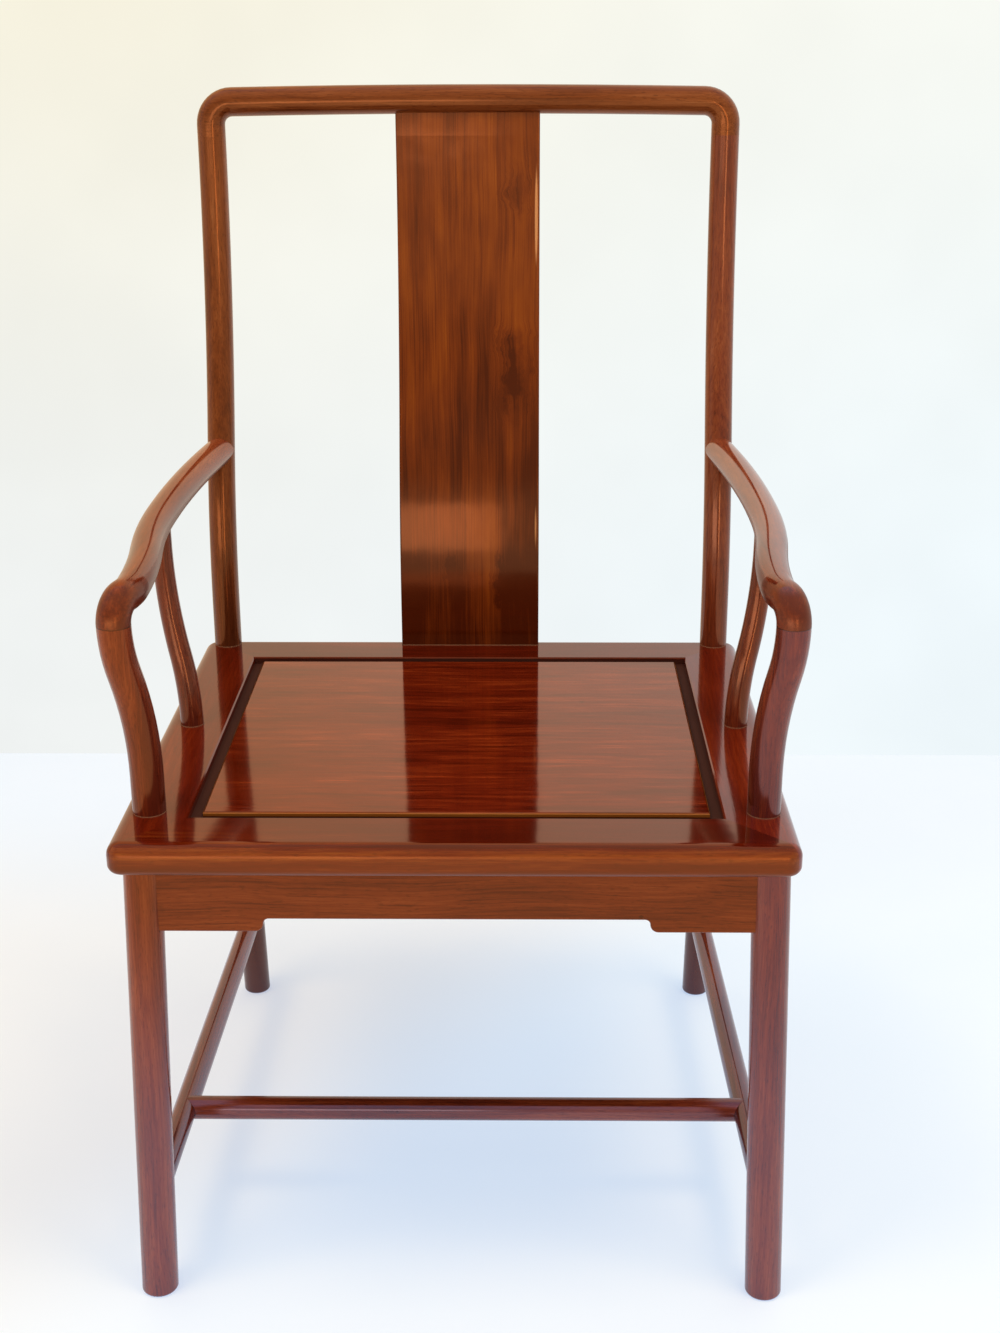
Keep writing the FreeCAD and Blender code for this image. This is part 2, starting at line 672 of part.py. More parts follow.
def tenon_rooms(label, side):
    """Mortises in a side rail for the tenons of the front and rear rails."""
    rooms = []
    low = seat_under + size("rail_tenon_lift")
    for name, sign, outer in (("front", -1, seat_front), ("rear", 1, seat_rear)):
        inner = outer - size("seat_rail_width") * sign
        ends = sorted((frame_x * side, (frame_x + size("rail_tenon_length") + gap) * side),
                      key=lambda item: item.value)
        edge = inner + size("rail_tenon_inset") * sign
        edges = sorted((edge - gap * sign, edge + (size("rail_tenon_width") + gap) * sign),
                       key=lambda item: item.value)
        rooms.append(box("%s_%s_mortise" % (label, name), (ends[0], edges[0], low - gap),
                         (ends[1], edges[1], low + size("rail_tenon_thick") + gap)))
    return rooms


def seat_panel():
    """Floating panel: raised field, sunk margin and a tongue for the frame's groove."""
    body = new_body("seat_panel")
    margin = size("margin_width")
    reach = size("tongue_reach") - size("tongue_play")
    low = (margin - frame_x, frame_front + margin)
    high = (frame_x - margin, frame_rear - margin)
    field = rectangle(body, "XY_Plane", "field", panel_under, low, high)
    pad(body, "field_pad", field, size("panel_thick"))
    soften(body, "Chamfer", "field_chamfer", "panel_chamfer", lambda edge: at_height(edge, panel_top))
    tongue_low = (-frame_x - reach, frame_front - reach)
    tongue_high = (frame_x + reach, frame_rear + reach)
    tongue = rectangle(body, "XY_Plane", "tongue", tongue_top - size("tongue_thick"),
                       tongue_low, tongue_high)
    pad(body, "tongue_pad", tongue, size("tongue_thick"))
    return body


def batten(label, side, ease):
    """Batten under the panel, its ends let into the underside of the front and rear rails."""
    body = new_body(label)
    low = panel_under - size("batten_depth")
    front_end = frame_front - size("batten_housing") - ease
    rear_end = frame_rear + size("batten_housing") + ease
    clear = seat_front + size("front_apron_inset") + size("front_apron_thick") + size("batten_clear")
    points = [(front_end, seat_under), (clear, seat_under), (clear, low), (frame_rear, low),
              (frame_rear, seat_under), (rear_end, seat_under), (rear_end, panel_under),
              (front_end, panel_under)]
    width = size("batten_width") + ease * 2
    start = size("batten_offset") * side - width / 2
    profile = outline(sketch(body, "YZ_Plane", "profile", start), points, [None] * 8)
    pad(body, "bar", profile, width)
    return body


def apron_outline(made, ends, steps, ease):
    """Board with a lower edge that steps up in its middle: a round corner, then a hollow one."""
    low = seat_under - size("apron_depth") - ease
    rise = size("apron_rise")
    corner = rise * size("step_round_share")
    hollow = rise - corner
    left_top, left_low, right_low, right_top = ends
    left, right = steps
    points = [(left_top, seat_under), (left_low, low), (left, low), (left + corner, low + corner),
              (left + rise, low + rise), (right - rise, low + rise), (right - corner, low + corner),
              (right, low), (right_low, low), (right_top, seat_under)]
    bends = [None, None, (corner, 1), (hollow, -1), None, (hollow, -1), (corner, 1), None, None, None]
    return outline(made, points, bends)


def long_apron(label, face_y, thick, ease):
    """Front or rear apron between two legs, seen along Y."""
    body = new_body(label)
    end = post_x - size("long_apron_stop") + ease
    step = post_x - size("long_apron_stop") - size("apron_foot")
    profile = sketch(body, "XZ_Plane", "profile", -face_y)
    apron_outline(profile, (-end, -end, end, end), (-step, step), ease)
    pad(body, "board", profile, thick)
    return body


def side_apron(label, side, ease):
    """Left or right apron; its rear end follows the raked leg."""
    body = new_body(label)
    low = seat_under - size("apron_depth")
    stop = size("apron_stop")
    step = size("side_apron_foot")
    front_axis = front_y - front_leg_set(seat_under) * forward_part
    front_end = front_axis + stop - ease
    ends = (front_end, front_end, rear_leg_y(low) - stop + ease, rear_y - stop + ease)
    steps = (front_axis + step, rear_leg_y(low) - step)
    thick = size("apron_thick") + ease * 2
    outer = seat_side - size("side_apron_inset") + ease
    start = outer - thick if side > 0 else -outer
    profile = sketch(body, "YZ_Plane", "profile", start)
    apron_outline(profile, ends, steps, ease)
    pad(body, "board", profile, thick)
    return body


def round_lower_edge(body, face_of, wanted):
    """Ease the lower edge of an apron on its outer face."""
    low = seat_under.value - gap.value

    def pick(edge):
        spots = [edge.valueAt(edge.FirstParameter), edge.valueAt(edge.LastParameter)]
        flat = all(near(face_of(spot), wanted) for spot in spots)
        ends = [near(spot.z, seat_under) for spot in spots]
        return flat and not any(ends) and max(spot.z for spot in spots) < low

    soften(body, "Fillet", "lower_round", "apron_edge_round", pick)


stretcher_z = size("stretcher_height")
front_out = front_leg_set(stretcher_z)
stretcher_front = (post_x + front_out * out_part, front_y - front_out * forward_part)
stretcher_rear = (rear_leg_x, rear_leg_y(stretcher_z))
stretcher_in = stretcher_front[0] - stretcher_rear[0]
stretcher_run = stretcher_rear[1] - stretcher_front[1]
cross_y = front_y + size("cross_stretcher_set")
cross_x = stretcher_front[0] - stretcher_in * (cross_y - stretcher_front[1]) / stretcher_run


def side_stretcher(label, side, ease):
    """Round stretcher from the front leg to the rear leg, housed in both."""
    body = new_body(label)
    slope = "atan(%s / %s)" % (stretcher_in.text, stretcher_run.text)
    turn_body(body, (stretcher_front[0] * side, stretcher_front[1], stretcher_z),
              slope if side > 0 else "-" + slope)
    length = (stretcher_in * stretcher_in + stretcher_run * stretcher_run).root()
    stop = size("stretcher_stop")
    end = circle(body, "XZ_Plane", "end", -stop, (ZERO, ZERO), size("stretcher_diameter") + ease * 2)
    pad(body, "rod", end, length - stop * 2, reverse=True)
    return body


# What goes in and the room it needs
parts = {}
rooms = {}
for name, side in SIDES:
    for ease, found, ending in ((ZERO, parts, ""), (gap, rooms, "_clear")):
        key = name + "_side_post"
        found[key] = side_post(key + ending, side, ease)
        key = name + "_apron"
        found[key] = side_apron(key + ending, side, ease)
        key = name + "_batten"
        found[key] = batten(key + ending, side, ease)
        key = name + "_stretcher"
        found[key] = side_stretcher(key + (ending or "_rod"), side, ease)
for ease, found, ending in ((ZERO, parts, ""), (gap, rooms, "_clear")):
    grown = ease * 2
    found["back_splat"] = back_splat("back_splat" + ending, ease)
    rear_in = seat_rear - size("rear_apron_inset") + ease
    found["rear_apron"] = long_apron("rear_apron" + ending, rear_in,
                                     size("apron_thick") + grown, ease)
    front_in = seat_front + size("front_apron_inset") + size("front_apron_thick") + ease
    found["front_apron"] = long_apron("front_apron" + ending, front_in,
                                      size("front_apron_thick") + grown, ease)


def long_splat_edge(edge):
    across = abs(edge.Vertexes[0].X - edge.Vertexes[-1].X)
    return across < gap.value and edge.Length > size("splat_thick").value * 2


soften(parts["back_splat"], "Fillet", "edge_round", "splat_edge_round", long_splat_edge)
round_lower_edge(parts["front_apron"], lambda p: p.y, seat_front + size("front_apron_inset"))
round_lower_edge(parts["rear_apron"], lambda p: p.y, seat_rear - size("rear_apron_inset"))
for name, side in SIDES:
    face = (seat_side - size("side_apron_inset")) * side
    round_lower_edge(parts[name + "_apron"], lambda p: p.x, face)

cross_core = cylinder("cross_core", (-cross_x - size("cross_tenon_tip"), cross_y, stretcher_z),
                      size("cross_tenon_diameter"), (cross_x + size("cross_tenon_tip")) * 2, "X")
cross_room = cylinder("cross_core_clear", (-cross_x - size("cross_tenon_tip"), cross_y, stretcher_z),
                      size("cross_tenon_diameter") + gap * 2,
                      (cross_x + size("cross_tenon_tip")) * 2, "X")
cross_rod = cylinder("cross_rod", (-cross_x, cross_y, stretcher_z), size("stretcher_diameter"),
                     cross_x * 2, "X")
coped = cut("cross_coped", cross_rod, [rooms["left_stretcher"], rooms["right_stretcher"]])
parts["cross_stretcher"] = fuse("cross_stretcher", coped, [cross_core])

# Seat frame
necks = []
for name, side in SIDES:
    set_out = size("front_leg_set") / 2
    spots = (("front", size("front_neck_diameter"),
              (post_x + set_out * out_part) * side, front_y - set_out * forward_part),
             ("rear", size("rear_neck_diameter"),
              (post_x + size("rear_leg_set") / 2) * side, rear_y))
    for place_name, diameter, at_x, at_y in spots:
        necks.append(cylinder("%s_%s_neck_hole" % (place_name, name), (at_x, at_y, seat_under),
                              diameter + gap * 2, size("seat_thick")))
battens = [rooms["left_batten"], rooms["right_batten"]]
parts["front_seat_rail"] = cut("front_seat_rail", long_rail("front_seat_rail", -1, seat_front), battens)
parts["rear_seat_rail"] = cut("rear_seat_rail", long_rail("rear_seat_rail", 1, seat_rear),
                              battens + necks[1::2] + [rooms["back_splat"]])
for index, (name, side) in enumerate(SIDES):
    label = name + "_seat_rail"
    taken = necks[index * 2:index * 2 + 2] + [rooms[name + "_side_post"]] + tenon_rooms(label, side)
    parts[label] = cut(label, side_rail(label, side), taken)
parts["seat_panel"] = seat_panel()

# Posts, arms and crest rail
joint_room = size("joint_tenon_diameter") + gap * 2
crest_tenons = []
for name, side in SIDES:
    stretcher = rooms[name + "_stretcher"]
    apron = rooms[name + "_apron"]
    label = "front_%s_post" % name
    parts[label] = cut(label, front_post(label, side), [stretcher, apron, rooms["front_apron"]])
    root_y = arm_start_y - post_round / 2 - size("arm_tenon_root")
    long = post_round / 2 + size("arm_tenon_root") + size("arm_tenon_tip")
    spot = (post_x * side, root_y, size("arm_height"))
    arm_tenon = cylinder(name + "_arm_tenon", spot, size("arm_tenon_diameter"), long, "Y")
    arm_mortise = cylinder(name + "_arm_tenon_clear", spot, size("arm_tenon_diameter") + gap * 2,
                           long, "Y")
    label = "rear_%s_post" % name
    parts[label] = cut(label, rear_post(label, side),
                       [stretcher, apron, rooms["rear_apron"], arm_mortise])
    socket = cylinder(name + "_arm_socket", (elbow_x * side, elbow_y, arm_joint), joint_room,
                      size("joint_tenon_length") + gap)
    label = name + "_arm"
    hollow = cut(label + "_coped", arm(label, side),
                 [post_room(label + "_post", side), rooms[name + "_side_post"], socket])
    parts[label] = fuse(label, hollow, [arm_tenon])
    crest_tenons.append(cylinder(name + "_crest_socket", (post_x * side, back_top_y, back_high),
                                 joint_room, size("joint_tenon_length") + gap))
parts["crest_rail"] = cut("crest_rail", crest_rail(), crest_tenons + [rooms["back_splat"]])
for name, side in SIDES:
    label = name + "_stretcher"
    parts[label] = cut(label, parts[label], [cross_room])

doc.recompute()

# Every object has to have come out sound before anything is written
for item in doc.Objects:
    for word in ("Invalid", "Error"):
        if word in item.State:
            raise RuntimeError("%s is in state %s" % (item.Name, item.State))
os.makedirs("parts", exist_ok=True)
total = 0
for label in sorted(parts):
    item = parts[label]
    item.Label = label
    shape = item.Shape
    if shape.isNull() or not shape.isValid() or len(shape.Solids) != 1:
        raise RuntimeError("%s has no sound single solid" % label)
    solid = shape.Solids[0]
    total += solid.Volume
    solid.exportStep("parts/%s.step" % label)
    box_of = solid.BoundBox
    print("%-18s %9.0f mm3  x %.1f %.1f  y %.1f %.1f  z %.1f %.1f" % (
        label, solid.Volume, box_of.XMin, box_of.XMax, box_of.YMin, box_of.YMax, box_of.ZMin, box_of.ZMax))
print("%d pieces, %.0f mm3" % (len(parts), total))
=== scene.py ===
import math

import bmesh
import bpy
from mathutils import Matrix, Vector


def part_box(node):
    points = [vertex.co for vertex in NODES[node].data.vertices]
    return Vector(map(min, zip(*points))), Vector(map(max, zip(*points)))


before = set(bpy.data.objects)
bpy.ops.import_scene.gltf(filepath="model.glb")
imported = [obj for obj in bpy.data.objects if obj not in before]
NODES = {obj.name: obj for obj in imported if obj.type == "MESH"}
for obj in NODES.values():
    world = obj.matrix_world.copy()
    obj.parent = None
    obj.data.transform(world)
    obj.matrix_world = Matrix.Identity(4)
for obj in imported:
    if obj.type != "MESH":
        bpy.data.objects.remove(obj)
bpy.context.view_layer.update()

MM = 0.001

# Where the photograph was taken from, and how far the lens opened. The frame is taken as 1000 by 1333.
PHOTO_WIDE = 1000
PHOTO_HIGH = 1333
LENS_IN_PIXELS = 1799.94
CAMERA_AT = Vector((0.05626, -1.61698, 1.10143))
CAMERA_TILT_DOWN = math.radians(19.86)
CAMERA_TURN = math.radians(-0.78)
CAMERA_ROLL = math.radians(-0.18)
SENSOR_WIDE = 36
NEAREST_SEEN = 0.05

# Heights at which the finish changes
SEAT_TOP = 472 * MM
ELBOW_JOINT = 642 * MM
ELBOW_SATIN = 0.672
# Stretches of height in which it changes little by little, each from its start to where it is complete
# Painted shade: the splat darkens towards its foot, where its curve turns to face down
SPLAT_FOOT_SHADE = (0.59, 0.53)
SPLAT_HEAD = (0.70, 0.88)
# Painted shade: the arms darken where the elbow turns down to the front post
ELBOW_SHADE_FALL = (0.682, 0.664)
# Painted highlight: above this the right arm's shine turns pale
RIGHT_ARM_SHEEN_RISE = (0.666, 0.682)
SEAT_NECK = (0.445, 0.475)
GOOSE_NECK = (0.51, 0.60)
# Painted shade: the rear legs darken under the seat
UNDER_SEAT_SHADE = (0.44, 0.40)
REAR_POST_FOOT = (0.62, 0.50)
# Where the shine turns to the painted cool reflection, going down the front legs and the rear legs
LEG_FALL = (0.42, 0.13)
REAR_LEG_FALL = (0.3, -0.2)
# Painted highlight: the front rail turns paler down its rounded front edge, below the arris
RAIL_EDGE_HIGHLIGHT = (SEAT_TOP - MM, SEAT_TOP - 5 * MM)
# Painted shade: it turns darker again under the rounded edge, which faces down
RAIL_UNDERSIDE_SHADE = (SEAT_TOP - 9 * MM, SEAT_TOP - 17 * MM)


def hex_colour(text):
    """An sRGB hex value as a linear colour."""
    parts = [int(text[i:i + 2], 16) / 255 for i in (1, 3, 5)]
    linear = [p / 12.92 if p <= 0.04045 else ((p + 0.055) / 1.055) ** 2.4 for p in parts]
    return (*linear, 1.0)


def add(tree, kind, inputs=None, **settings):
    """A node with its settings, and its inputs set or linked."""
    made = tree.nodes.new("ShaderNode" + kind)
    for key, value in settings.items():
        setattr(made, key, value)
    for key, value in (inputs or {}).items():
        if isinstance(value, bpy.types.NodeSocket):
            tree.links.new(value, made.inputs[key])
        else:
            made.inputs[key].default_value = value
    return made


def new_material(name):
    """An empty material, and the tree that its nodes go into."""
    material = bpy.data.materials.new(name)
    material.use_nodes = True
    material.node_tree.nodes.clear()
    return material, material.node_tree


# Rosewood: a dense red-brown hardwood, planed and sanded smooth, its pores filled and then clear
# lacquered and rubbed to a high gloss. The eye sees broad soft changes of tone along the grain,
# fine dark growth lines and short pores in them, and over all a nearly flat, hard mirror. Light
# that meets the wood squarely comes back warm from its fibres, and white only near the edges.
FRAME_TONES = ("#46150a", "#68270f", "#7c3718", "#94502c")
PANEL_TONES = ("#3c0700", "#520f02", "#5e1704", "#78280a")
SPLAT_TONES = ("#380f01", "#5e2404", "#753406", "#8f4c10")
RAIL_TONES = ("#3c0700", "#500f02", "#6a2a08", "#7c3e10")
BACK_TONES = ("#3e1a08", "#5e2c10", "#6e3817", "#86502a")
RIGHT_BACK_TONES = ("#42170a", "#642810", "#763718", "#8e4e2a")
PORE_TONE = "#240803"
# Painted shade: the dark of a groove or a corner where little light reaches
RECESS_SHADE_TONE = "#40231a"
# How far from the darkest to the palest grain each of the four tones lies
TONE_STOPS = (0.08, 0.38, 0.62, 0.94)
# What the lacquer gives back squarely: warm from the fibres high up, and low down a cool tint, a painted
# reflection of the bluish floor
FIBRE_SHINE = "#ff9a5c"
# Painted light: the right-hand pieces shine pinker, for the bluish light that falls from the right
RIGHT_LIGHT_SHINE = "#f8b4b4"
SPLAT_SHINE = "#ff9c64"
# Painted light: the right rear post shines paler, for the same light from the right
RIGHT_BACK_LIGHT_SHINE = "#ffae84"
SIDE_POST_SHINE = "#ffa878"
COOL_FLOOR_REFLECTION = "#e8d6f0"
ELBOW_SHINE = "#b8704e"
# Painted highlight: the pale shine on the right arm above its elbow
RIGHT_ARM_PALE_SHEEN = "#ffe6e0"
# Sizes of the grain, across it and along it
CLOUD = (48 * MM, 260 * MM)
MOTTLE = (17 * MM, 70 * MM)
STREAK = (9 * MM, 230 * MM)
# Real growth lines are finer than 1 mm: these are as coarse as they need to be to show
LINE = (2.4 * MM, 150 * MM)
FIBRE = (1.2 * MM, 26 * MM)
HAIR = (1.0 * MM, 90 * MM)
PORE = (0.9 * MM, 7 * MM)
STRIPE = (1.9 * MM, 110 * MM)
BAND = (16 * MM, 200 * MM)
RIBBON = (6.5 * MM, 110 * MM)
FLECK = (3.2 * MM, 45 * MM)
# Layers of the grain, each with its weight: turned pieces, the splat's board, the panel's board
TURNED = ((CLOUD, 0.92), (STREAK, 0.56), (LINE, 0.6), (FIBRE, 0.48))
SPLAT_BOARD = ((CLOUD, 1.15), (MOTTLE, 0.6), (STREAK, 0.45), (LINE, 0.32), (HAIR, 0.42))
# The panel lies so flat to the eye that only coarser figure shows on it
PANEL_BOARD = ((CLOUD, 1.2), (BAND, 1.1), (RIBBON, 1.0), (FLECK, 1.4))
# How the grain wanders from side to side: over what length, and how far
WANDER = 170 * MM
WANDER_REACH = 6 * MM
# Through a board that is sawn to a curve the figure changes at this share of its pace along the grain
QUARTER_SHARE = 0.4
# The middle value of a noise, and the values from which a dark growth line or a pore starts and is full
NOISE_MIDDLE = 0.5
STRIPE_CUT = (0.56, 0.72)
PORE_CUT = (0.62, 0.74)
# A knot: how much X, Y and Z count in its shape, how fine and deep its edge frays, how it bends the
# fibres round it, and how small its dark middle is
KNOT_SHAPE = (1.0, 0.5, 0.45)
KNOT_FRAY = 0.9
KNOT_UNEVEN = 1.8
KNOT_BEND = -0.7
KNOT_CORE = 1.6
# The inner part of a ring or a mark that has its full strength
FULL_SHARE = 0.6
# The lacquer's surface: how long and high its brushed ripples are, and how high the grain under them
LACQUER_FLOW = 30 * MM
RIPPLE_HEIGHT = 0.25 * MM
GRAIN_HEIGHT = 0.1 * MM
# Roughness of an arris that is rubbed satin, and roughness and shine in the painted shade of a groove
SATIN = 0.3
GROOVE_SHADE_ROUGHNESS = 0.7
GROOVE_SHADE_SHINE = 0.03


def stretched(tree, point, along, size, quarter=None):
    """The point with one unit for each grain width and each grain length.

    On a board sawn to a curve the figure follows the curve, so it hardly changes along the axis that
    quarter names.
    """
    scale = [1 / size[0]] * 3
    scale[along] = 1 / size[1]
    if quarter is not None:
        scale[quarter] = QUARTER_SHARE / size[1]
    return add(tree, "VectorMath", {0: point, 1: scale}, operation="MULTIPLY").outputs[0]


def knot(tree, place, point, centre, radius):
    """How far a spot is from a knot's middle, and how near to it from 1 to 0, with an uneven edge."""
    away = add(tree, "VectorMath", {0: place, 1: centre}, operation="SUBTRACT").outputs[0]
    drawn = add(tree, "VectorMath", {0: away, 1: KNOT_SHAPE}, operation="MULTIPLY").outputs[0]
    ragged = add(tree, "TexNoise", {"Vector": point, "Scale": KNOT_FRAY / radius, "Detail": 5.0,
                                    "Roughness": 0.6})
    ragged = add(tree, "VectorMath", {0: ragged.outputs["Color"], 1: [NOISE_MIDDLE] * 3},
                 operation="SUBTRACT").outputs[0]
    ragged = add(tree, "VectorMath", {0: ragged, "Scale": radius * KNOT_UNEVEN},
                 operation="SCALE").outputs[0]
    uneven = add(tree, "VectorMath", {0: drawn, 1: ragged}, operation="ADD").outputs[0]
    far = add(tree, "VectorMath", {0: uneven}, operation="LENGTH").outputs["Value"]
    near = add(tree, "MapRange", {0: far, 1: 0.0, 2: radius, 3: 1.0, 4: 0.0},
               interpolation_type="SMOOTHERSTEP").outputs[0]
    return away, near


def rosewood(name, along, offset, tones=FRAME_TONES, layers=TURNED, knots=(), lift=0.0, gloss=0.15,
             streaks=0.0, fades=(), lines=(), marks=(), shaded_below=None, satin_below=None, index=1.5,
             shine=FIBRE_SHINE, turn=None, flow=0.25, pores=0.35, relief=0.05, quarter=None):
    """Lacquered rosewood with its grain along one axis.

    Lift makes the whole piece paler, or darker below 0. Streaks adds narrow dark growth lines, and
    pores, relief and flow say how much of the pores, of the grain's relief and of the lacquer's
    ripple shows. Quarter names the axis through a board that is sawn to a curve.
    Knots are (centre, radius, depth). Fades change the tone between two heights, as (from, to,
    amount); some are painted shade or painted highlight. Lines are thin rings at a height, as
    (height, half, colour, strength): dark glue lines, and painted highlights where a post meets the
    seat or along the panel's arris. Marks are small stains and knocks, painted highlights and painted
    shade, as (centre, reach, colour, strength). Below shaded_below the wood is painted dark and matt,
    as painted shade in a groove, and below satin_below an edge is rubbed satin.
    Gloss is the lacquer's roughness, index how strongly it mirrors, and shine its tint. Turn is
    (from, to, tint): between these two heights the shine turns to that tint.
    """
    material, tree = new_material(name)
    place = add(tree, "TexCoord").outputs["Object"]
    height = add(tree, "SeparateXYZ", {0: place}).outputs[2]
    point = add(tree, "VectorMath", {0: place, 1: offset}, operation="ADD").outputs[0]
    # The grain wanders from side to side, as the tree's did
    wander = add(tree, "TexNoise", {"Vector": point, "Scale": 1 / WANDER, "Detail": 2.0})
    centred = add(tree, "VectorMath", {0: wander.outputs["Color"], 1: [NOISE_MIDDLE] * 3},
                  operation="SUBTRACT").outputs[0]
    reach = [2 * WANDER_REACH] * 3
    reach[along] = 0
    shift = add(tree, "VectorMath", {0: centred, 1: reach}, operation="MULTIPLY").outputs[0]
    grain = add(tree, "VectorMath", {0: point, 1: shift}, operation="ADD").outputs[0]
    tone = NOISE_MIDDLE + lift
    for centre, radius, depth in knots:
        # Fibres bend round a knot, and the wood darkens towards its middle
        away, near = knot(tree, place, point, centre, radius)
        push = [KNOT_BEND, 0.0, KNOT_BEND]
        push[along] = 0.0
        bent = add(tree, "VectorMath", {0: away, 1: push}, operation="MULTIPLY").outputs[0]
        bent = add(tree, "VectorMath", {0: bent, "Scale": near}, operation="SCALE").outputs[0]
        grain = add(tree, "VectorMath", {0: grain, 1: bent}, operation="ADD").outputs[0]
        core = add(tree, "Math", {0: near, 1: KNOT_CORE}, operation="POWER").outputs[0]
        tone = add(tree, "Math", {0: core, 1: -depth, 2: tone}, operation="MULTIPLY_ADD").outputs[0]
    for start, end, amount in fades:
        part = add(tree, "MapRange", {0: height, 1: start, 2: end, 3: 0.0, 4: 1.0},
                   interpolation_type="SMOOTHSTEP").outputs[0]
        tone = add(tree, "Math", {0: part, 1: amount, 2: tone}, operation="MULTIPLY_ADD").outputs[0]
    for size, weight in layers:
        layer = add(tree, "TexNoise", {"Vector": stretched(tree, grain, along, size, quarter),
                                       "Scale": 1.0, "Detail": 2.0, "Roughness": 0.5}).outputs[0]
        level = add(tree, "Math", {0: layer, 1: NOISE_MIDDLE}, operation="SUBTRACT").outputs[0]
        tone = add(tree, "Math", {0: level, 1: weight, 2: tone}, operation="MULTIPLY_ADD").outputs[0]
    if streaks:
        # Narrow dark growth lines, here and there
        dark = add(tree, "TexNoise", {"Vector": stretched(tree, grain, along, STRIPE, quarter),
                                      "Scale": 1.0, "Detail": 1.0}).outputs[0]
        dark = add(tree, "MapRange", {0: dark, 1: STRIPE_CUT[0], 2: STRIPE_CUT[1], 3: 0.0, 4: -streaks},
                   interpolation_type="SMOOTHSTEP").outputs[0]
        tone = add(tree, "Math", {0: tone, 1: dark}, operation="ADD").outputs[0]
    pore = add(tree, "TexNoise", {"Vector": stretched(tree, grain, along, PORE, quarter),
                                  "Scale": 1.0, "Detail": 0.0}).outputs[0]
    pore = add(tree, "MapRange", {0: pore, 1: PORE_CUT[0], 2: PORE_CUT[1], 3: 0.0, 4: pores},
               interpolation_type="SMOOTHSTEP").outputs[0]
    ramp = add(tree, "ValToRGB", {0: tone})
    stops = ramp.color_ramp.elements
    stops[0].position = TONE_STOPS[0]
    stops[1].position = TONE_STOPS[-1]
    for spot in TONE_STOPS[1:-1]:
        stops.new(spot)
    for stop, text in zip(stops, tones):
        stop.color = hex_colour(text)
    colour = add(tree, "Mix", {0: pore, 6: ramp.outputs[0], 7: hex_colour(PORE_TONE)},
                 data_type="RGBA").outputs[2]
    for level, half, tint, strength in lines:
        off = add(tree, "Math", {0: height, 1: level}, operation="SUBTRACT").outputs[0]
        off = add(tree, "Math", {0: off}, operation="ABSOLUTE").outputs[0]
        ring = add(tree, "MapRange", {0: off, 1: half * FULL_SHARE, 2: half, 3: strength, 4: 0.0},
                   interpolation_type="SMOOTHSTEP").outputs[0]
        colour = add(tree, "Mix", {0: ring, 6: colour, 7: hex_colour(tint)},
                     data_type="RGBA").outputs[2]
    for centre, reach, tint, strength in marks:
        off = add(tree, "VectorMath", {0: place, 1: centre}, operation="SUBTRACT").outputs[0]
        off = add(tree, "VectorMath", {0: off, 1: reach}, operation="DIVIDE").outputs[0]
        off = add(tree, "VectorMath", {0: off}, operation="LENGTH").outputs["Value"]
        spot = add(tree, "MapRange", {0: off, 1: FULL_SHARE, 2: 1.0, 3: strength, 4: 0.0},
                   interpolation_type="SMOOTHSTEP").outputs[0]
        colour = add(tree, "Mix", {0: spot, 6: colour, 7: hex_colour(tint)},
                     data_type="RGBA").outputs[2]
    # The lacquer lies almost flat over the pores, and ripples a little where it was brushed out
    ripple = add(tree, "TexNoise", {"Vector": place, "Scale": 1 / LACQUER_FLOW, "Detail": 1.0}).outputs[0]
    ripple = add(tree, "Bump", {"Height": ripple, "Strength": flow,
                                "Distance": RIPPLE_HEIGHT}).outputs[0]
    bump = add(tree, "Bump", {"Height": layer, "Strength": relief, "Distance": GRAIN_HEIGHT,
                              "Normal": ripple}).outputs[0]
    inputs = {"Base Color": colour, "Roughness": gloss, "IOR": index, "Specular IOR Level": 1.0,
              "Specular Tint": hex_colour(shine), "Normal": bump}
    if turn is not None:
        turned = add(tree, "MapRange", {0: height, 1: turn[0], 2: turn[1], 3: 0.0, 4: 1.0},
                     interpolation_type="SMOOTHSTEP").outputs[0]
        inputs["Specular Tint"] = add(tree, "Mix", {0: turned, 6: hex_colour(shine),
                                                    7: hex_colour(turn[2])},
                                      data_type="RGBA").outputs[2]
    if satin_below is not None:
        inputs["Roughness"] = add(tree, "MapRange", {0: height, 1: satin_below - 2 * MM, 2: satin_below,
                                                     3: SATIN, 4: gloss},
                                  interpolation_type="SMOOTHSTEP").outputs[0]
    # Painted shade: below the given height the wood is darkened and loses its gloss, for the shade in a
    # groove
    if shaded_below is not None:
        dull = add(tree, "MapRange", {0: height, 1: shaded_below - MM, 2: shaded_below, 3: 1.0, 4: 0.0},
                   interpolation_type="SMOOTHSTEP").outputs[0]
        inputs["Base Color"] = add(tree, "Mix", {0: dull, 6: colour, 7: hex_colour(RECESS_SHADE_TONE)},
                                   data_type="RGBA").outputs[2]
        inputs["Roughness"] = add(tree, "MapRange", {0: dull, 3: gloss, 4: GROOVE_SHADE_ROUGHNESS}).outputs[0]
        inputs["Specular IOR Level"] = add(tree, "MapRange", {0: dull, 3: 1.0, 4: GROOVE_SHADE_SHINE}).outputs[0]
    shader = add(tree, "BsdfPrincipled", inputs)
    add(tree, "OutputMaterial", {0: shader.outputs[0]})
    return material


# Every piece's grain runs the way its timber was sawn: 0 is X, 1 is Y and 2 is Z
GRAIN = {
    "crest_rail": 0, "back_splat": 2, "seat_panel": 0, "front_seat_rail": 0, "rear_seat_rail": 0,
    "front_apron": 0, "rear_apron": 0, "cross_stretcher": 0}
for side in ("left", "right"):
    GRAIN.update({f"front_{side}_post": 2, f"rear_{side}_post": 2, f"{side}_side_post": 2,
                  f"{side}_arm": 1, f"{side}_seat_rail": 1, f"{side}_batten": 1,
                  f"{side}_apron": 1, f"{side}_stretcher": 1})
